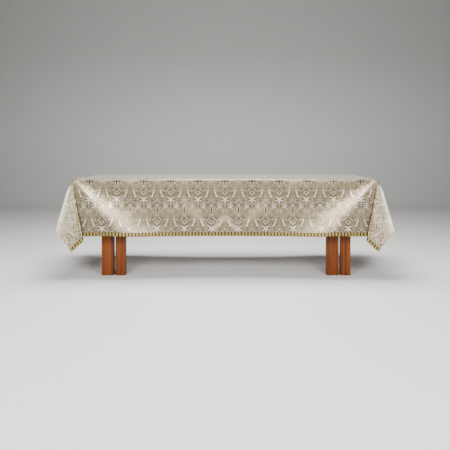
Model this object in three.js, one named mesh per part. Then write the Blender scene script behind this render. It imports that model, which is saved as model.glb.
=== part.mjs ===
// An altar table under a wide altar cloth whose front hem carries a gold braid.
// Millimetres, X along the table, Y from front (minus) to back, Z up, origin on the floor at the middle.
// The cloth is a flat rectangle laid over the top. Each of its corners hangs as a pleat: the folds run
// straight down from the table's corner and spread with depth, so the cloth keeps its flat size.

import * as THREE from 'three';
import { mergeVertices } from 'three/addons/utils/BufferGeometryUtils.js';

// Cloth
const LENGTH = 2800;            // outside of the cloth, end to end of the top
const DEPTH = 900;              // outside of the cloth, front to back of the top
const HEIGHT = 900;             // upper face of the cloth above the floor
const FRONT_DROP = 514;         // fall in front and behind
const SIDE_DROP = 405;          // fall at the ends
const CLOTH_THICK = 2;
const EDGE_RADIUS = 8;          // bend of the middle of the cloth over the edge of the top
const CORNER_RADIUS = 17;       // its round at the table's corners, in plan
const FLARE = 0.05;             // how far each fall stands out, per unit of depth
const FRONT_CREST = 0.08;       // swell of the front beside the pleat, per unit of depth
const SIDE_CREST = 0.03;
const TROUGH = { place: 71, width: 14 };   // degrees from upright, about the table's corner
const SWELL = { place: 40, width: 14 };

// Braid
const BRAID_HIGH = 33;
const BRAID_THICK = 1.6;
const RIB_PITCH = 30;
const RIB_HIGH = 1.4;
const SCALLOP = 3;              // how far the ribs reach below the hem
const BRAID_GAP = 0.6;          // stitched on, a thread's width off the cloth

// Table
const GAP = 0.3;                // between pieces that rest on each other
const EDGE_CLEAR = 2;           // between the cloth and the edges of the top
const TOP_THICK = 40;
const TOP_EDGE_RADIUS = 8;
const BEARER = { thick: 30, margin: 5 };
const BOARD_THICK = 60;
const WIDE_BOARD = 110;
const NARROW_BOARD = 90;
const BOARD_GAP = 20;
const LEG_INSET_X = 240;        // from the end of the cloth to the outer edge of the legs
const LEG_SHIFT = 10;           // the legs stand this far to the right of an even spacing
const LEG_INSET_Y = 80;         // from the front of the cloth to the face of the legs
const POST = 60;
const CHAMFER = 2;

const HALF_X = LENGTH / 2 - CLOTH_THICK / 2;
const HALF_Y = DEPTH / 2 - CLOTH_THICK / 2;
const MID_Z = HEIGHT - CLOTH_THICK / 2;

// The pleat, seen from above at unit depth below the table's corner. "out" is measured beyond the table's
// end and "fore" beyond its front. The high columns hold above FOLD_START, where the cloth is still one
// round swelling. The low ones hold near the hem. Most of the change comes by FOLD_FULL, the rest by
// FOLD_LAST. PUFF is how far the outer fold bulges beyond its straight line just below the edge.
const FOLD_START = 60;
const FOLD_FULL = 210;
const FOLD_LAST = 450;
const EARLY_SHARE = 0.8;
const PUFF = 18;
const PUFF_DEPTH = 100;
const FLAP_CURL = { place: 119, width: 15, share: 0.024 };   // degrees in the flat cloth; hangs shorter there
const HEM_LIFT = { place: 370, width: 130, share: 0.020 };   // millimetres along a fall from the corner
const FOLDS = [
  { at: 'front, beside the pleat', lowOut: -0.170, lowFore: 0.058, highOut: -0.170, highFore: 0.048 },
  { at: 'front, at the corner',    lowOut: 0.000,  lowFore: 0.018, highOut: -0.060, highFore: 0.060 },
  { at: 'hidden turn',             lowOut: 0.102,  lowFore: 0.006, highOut: 0.010,  highFore: 0.075 },
  { at: 'hidden turn',             lowOut: 0.102,  lowFore: 0.058, highOut: 0.040,  highFore: 0.090 },
  { at: 'middle layer',            lowOut: 0.000,  lowFore: 0.080, highOut: 0.050,  highFore: 0.100 },
  { at: 'middle layer',            lowOut: -0.140, lowFore: 0.104, highOut: 0.060,  highFore: 0.115 },
  { at: 'inner fold',              lowOut: -0.206, lowFore: 0.108, highOut: 0.070,  highFore: 0.130 },
  { at: 'inner fold',              lowOut: -0.206, lowFore: 0.164, highOut: 0.085,  highFore: 0.145 },
  { at: 'flap',                    lowOut: -0.120, lowFore: 0.152, highOut: 0.120,  highFore: 0.150 },
  { at: 'flap, near its tip',      lowOut: -0.010, lowFore: 0.126, highOut: 0.170,  highFore: 0.140 },
  { at: 'flap',                    lowOut: 0.160,  lowFore: 0.092, highOut: 0.240,  highFore: 0.110 },
  { at: 'outer fold',              lowOut: 0.305,  lowFore: 0.048, highOut: 0.330,  highFore: 0.050 },
  { at: 'outer fold',              lowOut: 0.305,  lowFore: -0.014, highOut: 0.330, highFore: -0.010 },
  { at: 'return',                  lowOut: 0.215,  lowFore: -0.100, highOut: 0.270, highFore: -0.060 },
  { at: 'side fold',               lowOut: 0.132,  lowFore: -0.195, highOut: 0.200, highFore: -0.100 },
  { at: 'side fold',               lowOut: 0.070,  lowFore: -0.195, highOut: 0.150, highFore: -0.115 },
  { at: 'side, middle layer',      lowOut: 0.068,  lowFore: -0.100, highOut: 0.120, highFore: -0.125 },
  { at: 'side, hidden turn',       lowOut: 0.062,  lowFore: 0.000, highOut: 0.095,  highFore: -0.135 },
  { at: 'side, hidden turn',       lowOut: 0.012,  lowFore: 0.000, highOut: 0.070,  highFore: -0.150 },
  { at: 'side, beside the pleat',  lowOut: 0.020,  lowFore: -0.120, highOut: 0.050, highFore: -0.170 },
];
const PLEAT_EDGE = 0.30;        // where the falls take over from the pleat, per unit of depth
const LEAD_IN = [0.54, 0.48, 0.42, 0.36, 0.30, 0.24];
const SAMPLE = 0.004;           // spacing of the dense outline, per unit of depth
const LOW_SMOOTHING = 22;       // passes that round the folds
const HIGH_SMOOTHING = 240;
const WELD = 1e-4;
const TINY = 1e-6;

// How finely the solids are cut
const PLEAT_COLUMNS = 38;
const COLUMN_TURN = 20 * Math.PI / 180;
const COLUMN_RUN = 0.075;
const FRONT_COLUMNS = 38;
const SIDE_COLUMNS = 8;
const CROWDING = 0.7;           // how much closer a fall's columns stand beside the pleats
const FAN = 300;                // distance over which the falls' columns turn from slanting to upright
const EDGE_DEPTHS = [0, 0.3 * EDGE_RADIUS, EDGE_RADIUS];
const ROWS = [0.09, 0.17, 0.26, 0.35, 0.45, 0.70, 1 - BRAID_HIGH / FRONT_DROP, 1];   // parts of the fall

const RAD = Math.PI / 180;
const smoothstep = (lo, hi, x) => {
  const s = Math.min(1, Math.max(0, (x - lo) / (hi - lo)));
  return s * s * (3 - 2 * s);
};
const mix = (a, b, s) => a + (b - a) * s;
const bell = (x, form) => Math.exp(-(((x - form.place) / form.width) ** 2));

// How far a fall stands out at unit depth, where "along" is the distance from the corner per unit depth:
// an even flare, a swell beside the pleat and a soft trough that runs down from the corner.
function fallShape(along, crest) {
  const angle = Math.atan(Math.max(along, 0)) / RAD;
  return FLARE * (1 - bell(angle, TROUGH)) + crest * bell(angle, SWELL);
}

// Repeated averaging with the neighbours, ends kept.
function smoothed(points, passes) {
  let now = points;
  for (let pass = 0; pass < passes; pass += 1) {
    now = now.map((p, i) => {
      if (i === 0 || i === now.length - 1) return p;
      return [0, 1].map((c) => (now[i - 1][c] + 2 * p[c] + now[i + 1][c]) / 4);
    });
  }
  return now;
}

// The pleat's outline as dense points, each with the cloth's own angle about the table's corner.
function pleatCurve(frontDrop, sideDrop) {
  const corners = [
    ...LEAD_IN.map((a) => [-a, fallShape(a, FRONT_CREST), -a, fallShape(a, FRONT_CREST)]),
    ...FOLDS.map((f) => [f.lowOut, f.lowFore, f.highOut, f.highFore]),
    ...[...LEAD_IN].reverse().map((a) => [fallShape(a, SIDE_CREST), -a, fallShape(a, SIDE_CREST), -a]),
  ];
  const low = [];
  const high = [];
  corners.slice(1).forEach((end, i) => {
    const start = corners[i];
    const steps = Math.max(1, Math.round(Math.hypot(end[0] - start[0], end[1] - start[1]) / SAMPLE));
    for (let s = 0; s < steps; s += 1) {
      low.push([mix(start[0], end[0], s / steps), mix(start[1], end[1], s / steps)]);
      high.push([mix(start[2], end[2], s / steps), mix(start[3], end[3], s / steps)]);
    }
  });
  const lowSmooth = smoothed(low, LOW_SMOOTHING);
  const highSmooth = smoothed(high, HIGH_SMOOTHING);
  const first = lowSmooth.findIndex((p) => p[0] >= -PLEAT_EDGE);
  const last = lowSmooth.length - 1 - [...lowSmooth].reverse().findIndex((p) => p[1] >= -PLEAT_EDGE);
  const dir = (p) => new THREE.Vector3(p[0], p[1], -1).normalize();
  const samples = [];
  let turned = 0;
  let cost = 0;
  for (let i = first; i <= last; i += 1) {
    if (i > first) {
      turned += dir(lowSmooth[i]).angleTo(dir(lowSmooth[i - 1]));
      const [back, here, on] = [i - 1, i, i + 1].map((n) => new THREE.Vector2(...lowSmooth[n]));
      const before = here.clone().sub(back);
      const after = on.sub(here);
      cost += before.angleTo(after) / COLUMN_TURN + before.length() / COLUMN_RUN;
    }
    samples.push({ low: lowSmooth[i], high: highSmooth[i], turned, cost });
  }
  const startAngle = 90 * RAD - Math.atan(PLEAT_EDGE);
  const span = 270 * RAD - 2 * startAngle;
  samples.forEach((s) => {
    s.part = s.turned / turned;
    s.angle = startAngle + s.part * span;
    const round = s.part * 90 * RAD;
    s.normal = [Math.sin(round), Math.cos(round)];
    s.foot = s.normal.map((n) => CORNER_RADIUS * (n - 1));
    s.hem = hemDistance(s.foot, s.angle, frontDrop, sideDrop);
  });
  return samples;
}

// Along a ray of the flat cloth, the distance from the foot to the front hem or the side hem.
function hemDistance(foot, angle, frontDrop, sideDrop) {
  const out = -Math.cos(angle);
  const fore = Math.sin(angle);
  const toSide = out > TINY ? (sideDrop - foot[0]) / out : Infinity;
  const toFront = fore > TINY ? (frontDrop - foot[1]) / fore : Infinity;
  return Math.min(toSide, toFront);
}

function between(samples, position) {
  const i = Math.min(samples.length - 2, Math.floor(position));
  const s = position - i;
  const [p, q] = [samples[i], samples[i + 1]];
  const pair = (key) => [0, 1].map((c) => mix(p[key][c], q[key][c], s));
  return { low: pair('low'), high: pair('high'), normal: pair('normal'), foot: pair('foot'),
    angle: mix(p.angle, q.angle, s) };
}

// Inset of the outline where the cloth bends over the edge, at a depth below the top.
function edgeInset(depth) {
  if (depth >= EDGE_RADIUS) return 0;
  return EDGE_RADIUS - Math.sqrt(EDGE_RADIUS ** 2 - (EDGE_RADIUS - depth) ** 2);
}

// The pleat's columns: positions of equal cost along the outline, and one at the tip of the cloth.
function pleatColumns(samples, frontDrop, sideDrop) {
  const total = samples[samples.length - 1].cost;
  const outermost = Math.max(...samples.map((s) => s.low[0]));
  const positions = [];
  for (let k = 0; k <= PLEAT_COLUMNS; k += 1) {
    const wanted = total * k / PLEAT_COLUMNS;
    const i = Math.max(1, samples.findIndex((s) => s.cost >= wanted - TINY));
    const stretch = samples[i].cost - samples[i - 1].cost;
    positions.push(i - 1 + Math.min(1, Math.max(0, (wanted - samples[i - 1].cost) / stretch)));
  }
  const tip = samples.reduce((best, s, i) => (s.hem > samples[best].hem ? i : best), 0);
  const apart = (i) => Math.abs(positions[i] - tip);
  const nearest = positions.reduce((best, _, i) => (apart(i) < apart(best) ? i : best), 0);
  positions[nearest] = tip;
  return positions.map((position) => {
    const s = between(samples, position);
    const reach = hemDistance(s.foot, s.angle, frontDrop, sideDrop);
    const curl = 1 + FLAP_CURL.share * bell(s.angle / RAD, FLAP_CURL);
    const fall = reach / Math.hypot(1, s.low[0], s.low[1]) / curl;
    const bulge = [PUFF * (Math.max(0, s.low[0]) / outermost) ** 2, 0];
    return {
      fall,
      place: (depth) => {
        const folded = EARLY_SHARE * smoothstep(FOLD_START, FOLD_FULL, depth)
          + (1 - EARLY_SHARE) * smoothstep(FOLD_FULL, FOLD_LAST, depth);
        return [0, 1].map((c) => s.foot[c] - s.normal[c] * edgeInset(depth)
          + depth * mix(s.high[c], s.low[c], folded)
          + bulge[c] * smoothstep(0, PUFF_DEPTH, depth));
      },
    };
  });
}

// The columns of a fall between two pleats. They slant beside the pleats and turn upright further on.
function fallColumns(count, run, drop, crest) {
  const edge = PLEAT_EDGE * drop;
  return Array.from({ length: count }, (_, k) => {
    const even = (k + 1) / (count + 1);
    const crowded = even - CROWDING * Math.sin(2 * Math.PI * even) / (2 * Math.PI);
    const atHem = mix(edge, run - edge, crowded);
    const near = Math.min(atHem, run - atHem);
    const slant = edge * (1 - smoothstep(0, FAN, near - edge));
    const atTop = atHem + (atHem < run / 2 ? -slant : slant);
    const fall = drop / (1 + HEM_LIFT.share * bell(near, HEM_LIFT));
    return {
      fall,
      along: (depth) => mix(atTop, atHem, depth / fall),
      out: (depth) => {
        const s = mix(atTop, atHem, depth / fall);
        const along = Math.min(s, run - s) / Math.max(depth, TINY);
        return depth * fallShape(along, crest) - edgeInset(depth);
      },
    };
  });
}

// All columns once round the table, each with its fall and a function from depth to a point in plan.
function ring() {
  const samples = pleatCurve(FRONT_DROP, SIDE_DROP);
  const pleat = pleatColumns(samples, FRONT_DROP, SIDE_DROP);
  const corner = (sideX, sideY, reverse) => {
    const columns = pleat.map((c) => ({
      fall: c.fall,
      plan: (depth) => {
        const [out, fore] = c.place(depth);
        return [sideX * (HALF_X + out), sideY * (HALF_Y + fore)];
      },
    }));
    return reverse ? columns.reverse() : columns;
  };
  const runX = 2 * (HALF_X - CORNER_RADIUS);
  const runY = 2 * (HALF_Y - CORNER_RADIUS);
  const along = (count, run, drop, crest, toPlan) => fallColumns(count, run, drop, crest).map((c) => ({
    fall: c.fall,
    plan: (depth) => toPlan(c.along(depth) - run / 2, c.out(depth)),
  }));
  return [
    ...corner(-1, -1, true),
    ...along(FRONT_COLUMNS, runX, FRONT_DROP, FRONT_CREST, (s, out) => [s, -(HALF_Y + out)]),
    ...corner(1, -1, false),
    ...along(SIDE_COLUMNS, runY, SIDE_DROP, SIDE_CREST, (s, out) => [HALF_X + out, s]),
    ...corner(1, 1, true),
    ...along(FRONT_COLUMNS, runX, FRONT_DROP, FRONT_CREST, (s, out) => [-s, HALF_Y + out]),
    ...corner(-1, 1, false),
    ...along(SIDE_COLUMNS, runY, SIDE_DROP, SIDE_CREST, (s, out) => [-(HALF_X + out), -s]),
  ];
}

// The middle of the cloth as a grid of points, rows down each column, with outward directions.
function middleSurface(columns) {
  const depths = (c) => [...EDGE_DEPTHS, ...ROWS.map((v) => mix(EDGE_RADIUS, c.fall, v))];
  const points = columns.map((c) => depths(c).map((d) => new THREE.Vector3(...c.plan(d), MID_Z - d)));
  const outward = points.map((column, k) => column.map((p, j) => {
    if (j === 0) return new THREE.Vector3(0, 0, 1);
    const next = points[(k + 1) % points.length];
    const before = points[(k - 1 + points.length) % points.length];
    const acrossStep = next[j].clone().sub(p).normalize().add(p.clone().sub(before[j]).normalize());
    const down = column[Math.min(j + 1, column.length - 1)].clone().sub(column[j - 1]);
    return down.cross(acrossStep).normalize();
  }));
  return { points, outward };
}

const layer = (surface, offset) => surface.points.map((column, k) => column.map(
  (p, j) => p.clone().addScaledVector(surface.outward[k][j], offset)));

// Gathers triangles as points and welds them into one geometry.
class Solid {
  constructor() { this.positions = []; }

  triangle(...corners) { corners.forEach((p) => this.positions.push(p.x, p.y, p.z)); }

  quad(a, b, c, d) {
    if (a.distanceToSquared(c) <= b.distanceToSquared(d)) {
      this.triangle(a, b, c);
      this.triangle(a, c, d);
    } else {
      this.triangle(a, b, d);
      this.triangle(b, c, d);
    }
  }

  geometry() {
    const g = new THREE.BufferGeometry();
    g.setAttribute('position', new THREE.Float32BufferAttribute(this.positions, 3));
    const merged = mergeVertices(g, WELD);
    merged.computeVertexNormals();
    return merged;
  }
}

function clothGeometry(surface) {
  const solid = new Solid();
  const outer = layer(surface, CLOTH_THICK / 2);
  const inner = layer(surface, -CLOTH_THICK / 2);
  const count = outer.length;
  const bottom = outer[0].length - 1;
  for (let k = 0; k < count; k += 1) {
    const n = (k + 1) % count;
    for (let j = 0; j < bottom; j += 1) {
      solid.quad(outer[k][j], outer[k][j + 1], outer[n][j + 1], outer[n][j]);
      solid.quad(inner[n][j], inner[n][j + 1], inner[k][j + 1], inner[k][j]);
    }
    solid.quad(outer[k][bottom], inner[k][bottom], inner[n][bottom], outer[n][bottom]);
  }
  const contour = outer.map((column) => new THREE.Vector2(column[0].x, column[0].y));
  THREE.ShapeUtils.triangulateShape(contour, []).forEach(([a, b, c]) => {
    solid.triangle(outer[a][0], outer[b][0], outer[c][0]);
    solid.triangle(inner[a][0], inner[c][0], inner[b][0]);
  });
  return solid.geometry();
}

// The braid runs along the front hem on the outer face of the cloth, round the folds, from tip to tip.
function braidGeometry(columns, surface) {
  const tipOf = (from, to) => {
    let best = from;
    for (let k = from; k < to; k += 1) if (columns[k].fall > columns[best].fall) best = k;
    return best;
  };
  const leftTip = tipOf(0, PLEAT_COLUMNS + 1);
  const rightStart = PLEAT_COLUMNS + 1 + FRONT_COLUMNS;
  const rightTip = tipOf(rightStart, rightStart + PLEAT_COLUMNS + 1);
  const bottom = surface.points[0].length - 1;
  const strip = [];
  let travelled = 0;
  for (let k = leftTip; k < rightTip; k += 1) {
    const run = surface.points[k][bottom].distanceTo(surface.points[k + 1][bottom]);
    const steps = Math.max(1, Math.round(run / (RIB_PITCH / 2)));
    for (let s = 0; s < steps + (k === rightTip - 1 ? 1 : 0); s += 1) {
      const t = s / steps;
      const at = (j) => surface.points[k][j].clone().lerp(surface.points[k + 1][j], t);
      const out = surface.outward[k][bottom].clone().lerp(surface.outward[k + 1][bottom], t).normalize();
      const hem = at(bottom);
      const up = at(bottom - 1).sub(hem);
      const rise = up.length();
      up.normalize();
      const wave = (1 - Math.cos(2 * Math.PI * (travelled + t * run) / RIB_PITCH)) / 2;
      const rib = steps > 1 ? strip.length % 2 : wave;
      const point = (height, offset) => hem.clone().addScaledVector(up, height).addScaledVector(out, offset);
      const back = CLOTH_THICK / 2 + BRAID_GAP;
      const face = back + BRAID_THICK + RIB_HIGH * rib;
      strip.push({
        innerTop: point(rise, back),
        outerTop: point(rise, back + BRAID_THICK / 2),
        shoulder: point(rise - RIB_HIGH * 2, face),
        foot: point(-SCALLOP * rib, face),
        innerFoot: point(-SCALLOP * rib, back),
      });
    }
    travelled += run;
  }
  const solid = new Solid();
  const rims = ['innerTop', 'outerTop', 'shoulder', 'foot', 'innerFoot'];
  strip.slice(1).forEach((next, i) => {
    const now = strip[i];
    rims.forEach((rim, r) => {
      const below = rims[(r + 1) % rims.length];
      solid.quad(now[rim], now[below], next[below], next[rim]);
    });
  });
  const cap = (section, flip) => {
    for (let r = 1; r < rims.length - 1; r += 1) {
      const [a, b, c] = [section[rims[0]], section[rims[r]], section[rims[r + 1]]];
      if (flip) solid.triangle(a, b, c);
      else solid.triangle(a, c, b);
    }
  };
  cap(strip[0], false);
  cap(strip[strip.length - 1], true);
  return solid.geometry();
}

// A board between two corners in plan, its faces eased at the edges, standing from one level to another.
function block(x0, x1, y0, y1, z0, z1, { ease = CHAMFER, steps = 1, round = 0 } = {}) {
  const shape = new THREE.Shape();
  const [left, right, front, back] = [x0 + ease, x1 - ease, y0 + ease, y1 - ease];
  if (round > ease) {
    const r = round - ease;
    shape.absarc(right - r, back - r, r, 0, Math.PI / 2);
    shape.absarc(left + r, back - r, r, Math.PI / 2, Math.PI);
    shape.absarc(left + r, front + r, r, Math.PI, 3 * Math.PI / 2);
    shape.absarc(right - r, front + r, r, 3 * Math.PI / 2, 2 * Math.PI);
  } else {
    shape.moveTo(left, front);
    shape.lineTo(right, front);
    shape.lineTo(right, back);
    shape.lineTo(left, back);
  }
  shape.closePath();
  const geometry = new THREE.ExtrudeGeometry(shape, {
    depth: z1 - z0 - 2 * ease,
    bevelEnabled: true,
    bevelSize: ease,
    bevelThickness: ease,
    bevelSegments: steps,
    curveSegments: 4,
  });
  geometry.translate(0, 0, z0 + ease);
  geometry.deleteAttribute('normal');
  geometry.deleteAttribute('uv');
  const merged = mergeVertices(geometry, WELD);
  merged.computeVertexNormals();
  return merged;
}

const material = (color, roughness, metalness = 0) => (
  new THREE.MeshStandardMaterial({ color, roughness, metalness }));
const cloth = () => material('#cfc8ba', 0.65);
const gold = () => material('#b99a58', 0.45, 0.4);
const wood = () => material('#8f552c', 0.55);

const altar = new THREE.Group();
function add(name, geometry, finish) {
  const mesh = new THREE.Mesh(geometry, finish);
  mesh.name = name;
  altar.add(mesh);
}

const columns = ring();
const surface = middleSurface(columns);
add('altar_cloth', clothGeometry(surface), cloth());
add('gold_braid', braidGeometry(columns, surface), gold());

const topZ = HEIGHT - CLOTH_THICK - GAP;
const topUnder = topZ - TOP_THICK;
const topX = LENGTH / 2 - CLOTH_THICK - EDGE_CLEAR;
const topY = DEPTH / 2 - CLOTH_THICK - EDGE_CLEAR;
const topRound = CORNER_RADIUS - CLOTH_THICK / 2 - EDGE_CLEAR;
add('table_top', block(-topX, topX, -topY, topY, topUnder, topZ,
  { ease: TOP_EDGE_RADIUS, steps: 3, round: topRound }), wood());

const bearerTop = topUnder - GAP;
const legTop = bearerTop - BEARER.thick - GAP;
const legOuterX = LENGTH / 2 - LEG_INSET_X;
const legFrontY = DEPTH / 2 - LEG_INSET_Y;
const groupWidth = WIDE_BOARD + BOARD_GAP + NARROW_BOARD;
const boardBackY = BOARD_THICK - legFrontY;
for (const [side, sign] of [['left', -1], ['right', 1]]) {
  const x0 = LEG_SHIFT + (sign < 0 ? -legOuterX : legOuterX - groupWidth);
  const x1 = x0 + groupWidth;
  const board = (start, end) => block(start, end, -legFrontY, boardBackY, 0, legTop);
  add(`${side}_wide_board`, board(x0, x0 + WIDE_BOARD), wood());
  add(`${side}_narrow_board`, board(x0 + WIDE_BOARD + BOARD_GAP, x1), wood());
  const postX = sign < 0 ? x0 : x1 - POST;
  add(`${side}_back_post`, block(postX, postX + POST, legFrontY - POST, legFrontY, 0, legTop), wood());
  add(`${side}_bearer`, block(x0 - BEARER.margin, x1 + BEARER.margin, -legFrontY - BEARER.margin,
    legFrontY + BEARER.margin, bearerTop - BEARER.thick, bearerTop), wood());
}

export default altar;
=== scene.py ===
# %% [markdown]
# # An altar table under a damask cloth
#
# The part is a long table with a silk damask cloth over it. The cloth is one flat rectangle: its front
# falls a little over half a metre, its ends a little less, and each corner hangs as a pleat. A gold
# braid is sewn along the front hem. The solids of the part already have these shapes. Here each one
# that is seen gets its finer form and its finish: a thin sheet for the cloth, ribs for the braid,
# a woven figure, and grain for the wood.

import bmesh
import bpy
import numpy as np
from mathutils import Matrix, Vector


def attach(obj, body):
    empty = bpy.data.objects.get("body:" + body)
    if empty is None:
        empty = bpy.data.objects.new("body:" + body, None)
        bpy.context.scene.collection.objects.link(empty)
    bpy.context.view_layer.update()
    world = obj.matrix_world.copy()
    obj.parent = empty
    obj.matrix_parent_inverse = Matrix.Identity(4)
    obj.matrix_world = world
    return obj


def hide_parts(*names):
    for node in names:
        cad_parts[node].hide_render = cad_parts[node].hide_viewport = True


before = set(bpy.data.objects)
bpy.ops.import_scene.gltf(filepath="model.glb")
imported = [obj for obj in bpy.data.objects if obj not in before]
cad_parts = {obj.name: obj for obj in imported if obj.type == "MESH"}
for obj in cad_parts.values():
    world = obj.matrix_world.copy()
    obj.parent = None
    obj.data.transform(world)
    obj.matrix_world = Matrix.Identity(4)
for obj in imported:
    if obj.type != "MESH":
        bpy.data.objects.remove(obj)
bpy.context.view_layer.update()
print("nodes:", sorted(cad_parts))

# %% [markdown]
# ## The camera
#
# A camera far away shows a long table with little distortion. This one stands about 4.4 m in front of
# the cloth, a little above the top, and looks level, so upright edges stay upright. The table then lies
# low in the picture. A lens shift moves it up, as a studio photographer would do it, without tilting.

# %% Camera
VIEW_PLACE = (0.0, -4.84216, 1.16353)
VIEW_SHIFT = -0.1653
LENS_MM, SENSOR_MM = 38.4, 36.0

camera_data = bpy.data.cameras.new("camera")
camera_data.lens = LENS_MM
camera_data.sensor_width = SENSOR_MM
camera_data.shift_y = VIEW_SHIFT
camera = bpy.data.objects.new("camera", camera_data)
camera.location = VIEW_PLACE
camera.rotation_euler = (np.pi / 2, 0, 0)
bpy.context.scene.collection.objects.link(camera)
bpy.context.scene.camera = camera
print("camera at", VIEW_PLACE)

# %% [markdown]
# ## Floor and light
#
# The floor is a wide pale sheet that curves up into a backdrop far behind, so no horizon line is seen.
# Satin shows a fold where it mirrors a lamp. Two broad key lamps stand high in front, a little left and
# right of the middle. The slope beside each pleat that faces up and inwards mirrors the lamp on the
# other side, so it shines as a band. Weak lamps at the sides lift the flaps, and one lights the top.

# %% Floor
FLOOR_HALF, FLOOR_BACK, BACKDROP_HIGH, BACKDROP_BEND = 9.0, 5.0, 9.0, 1.5
BEND_POINTS = 13


def grid_faces(rows, columns, wrap=False):
    """Quads between neighbouring points of a grid, numbered row by row; wrap joins the last column."""
    across = columns if wrap else columns - 1
    r, c = np.meshgrid(np.arange(rows - 1), np.arange(across), indexing="ij")
    n = (c + 1) % columns
    return np.stack([r * columns + c, r * columns + n, (r + 1) * columns + n, (r + 1) * columns + c],
                    axis=-1).reshape(-1, 4)


def make_piece(name, points, faces, uv=None, smooth=True):
    """A mesh object from arrays of points (n, 3) and quads (m, 4), with a UV pair for each point."""
    mesh = bpy.data.meshes.new(name)
    mesh.from_pydata(points.tolist(), [], faces.tolist())
    if uv is not None:
        layer = mesh.uv_layers.new(name="flat")
        corner = np.zeros(len(mesh.loops), np.int32)
        mesh.loops.foreach_get("vertex_index", corner)
        layer.data.foreach_set("uv", uv[corner].astype(np.float32).ravel())
    mesh.polygons.foreach_set("use_smooth", np.full(len(mesh.polygons), smooth))
    mesh.update()
    piece = bpy.data.objects.new(name, mesh)
    bpy.context.scene.collection.objects.link(piece)
    return piece


turn = np.linspace(0, np.pi / 2, BEND_POINTS)
profile = np.vstack([
    [[-FLOOR_HALF, 0.0]],
    np.stack([FLOOR_BACK + BACKDROP_BEND * np.sin(turn), BACKDROP_BEND * (1 - np.cos(turn))], 1),
    [[FLOOR_BACK + BACKDROP_BEND, BACKDROP_HIGH]],
])
floor_x = np.array([-FLOOR_HALF, FLOOR_HALF])
floor_points = np.stack([
    np.broadcast_to(floor_x, (len(profile), 2)),
    np.repeat(profile[:, :1], 2, 1),
    np.repeat(profile[:, 1:], 2, 1),
], axis=-1).reshape(-1, 3)
floor = make_piece("floor", floor_points, grid_faces(len(profile), 2))
print("floor points:", len(floor_points))

# %% Lamps
LAMPS = [
    # name, place, aim, size, watts
    ("key_left", (-1.6, -4.2, 2.6), (0.0, -0.45, 0.65), 1.6, 160),
    ("key_right", (1.6, -4.2, 2.6), (0.0, -0.45, 0.65), 1.6, 160),
    ("side_left", (-4.2, -2.9, 1.15), (-0.9, -0.45, 0.65), 1.2, 42),
    ("side_right", (4.2, -2.9, 1.15), (0.9, -0.45, 0.65), 1.2, 42),
    ("over", (0.0, 0.2, 3.9), (0.0, 0.0, 0.9), 2.4, 330),
]
WORLD_GREY, WORLD_STRENGTH = 0.86, 0.06


def aim(place, target):
    """The turn that points a lamp's own minus Z from its place to the target."""
    return (Vector(target) - Vector(place)).to_track_quat("-Z", "Y").to_euler()


for name, place, target, size, watts in LAMPS:
    lamp_data = bpy.data.lights.new(name, "AREA")
    lamp_data.shape = "DISK"
    lamp_data.size = size
    lamp_data.energy = watts
    lamp = bpy.data.objects.new(name, lamp_data)
    lamp.location = place
    lamp.rotation_euler = aim(place, target)
    bpy.context.scene.collection.objects.link(lamp)

world = bpy.data.worlds.new("soft_room")
world.use_nodes = True
background = world.node_tree.nodes["Background"]
background.inputs["Color"].default_value = (WORLD_GREY, WORLD_GREY, WORLD_GREY, 1)
background.inputs["Strength"].default_value = WORLD_STRENGTH
bpy.context.scene.world = world
print("lamps:", [row[0] for row in LAMPS])

# %% [markdown]
# ## How the cloth hangs
#
# A flat cloth can't be stretched into the corner of a table, so it swings out and folds. All its folds
# there run straight down from the table's corner and spread with depth. Cut at any height, the folds
# show the same wavy outline, only larger further down. So the pleat needs one outline, drawn at unit
# depth, and each point of it goes with one direction on the flat cloth. The long falls between the
# pleats stand out a little, with a soft trough and a swell beside each pleat.

# %% Sizes of the cloth
MM = 0.001
LENGTH, DEPTH, HEIGHT = 2800 * MM, 900 * MM, 900 * MM
FRONT_DROP, SIDE_DROP = 514 * MM, 405 * MM
SOLID_THICK = 2 * MM
EDGE_RADIUS, CORNER_RADIUS = 8 * MM, 17 * MM
HALF_X = LENGTH / 2 - SOLID_THICK / 2
HALF_Y = DEPTH / 2 - SOLID_THICK / 2
MID_Z = HEIGHT - SOLID_THICK / 2
FLARE, FRONT_CREST, SIDE_CREST = 0.05, 0.08, 0.03    # how far a fall stands out, per unit of depth
TROUGH, SWELL = (71, 14), (40, 14)         # middle and width, degrees from upright about the corner
FOLD_START, FOLD_FULL, FOLD_LAST = 20 * MM, 110 * MM, 450 * MM    # depths at which the folds form
EARLY_SHARE = 0.8                          # how much of them has formed by FOLD_FULL
PUFF, PUFF_DEPTH = 18 * MM, 100 * MM       # how far the outer fold bulges, and where it is full
PLEAT_EDGE = 0.30                          # where a fall ends and the pleat begins, per unit of depth
LEAD_IN = [0.54, 0.48, 0.42, 0.36, 0.30, 0.24]       # points of the falls that the outline starts on
SAMPLE = 0.004                             # step of the dense outline, per unit of depth
LOW_SMOOTHING, HIGH_SMOOTHING = 22, 240    # passes
TINY = 1e-6                                # keeps a divisor above zero
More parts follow.
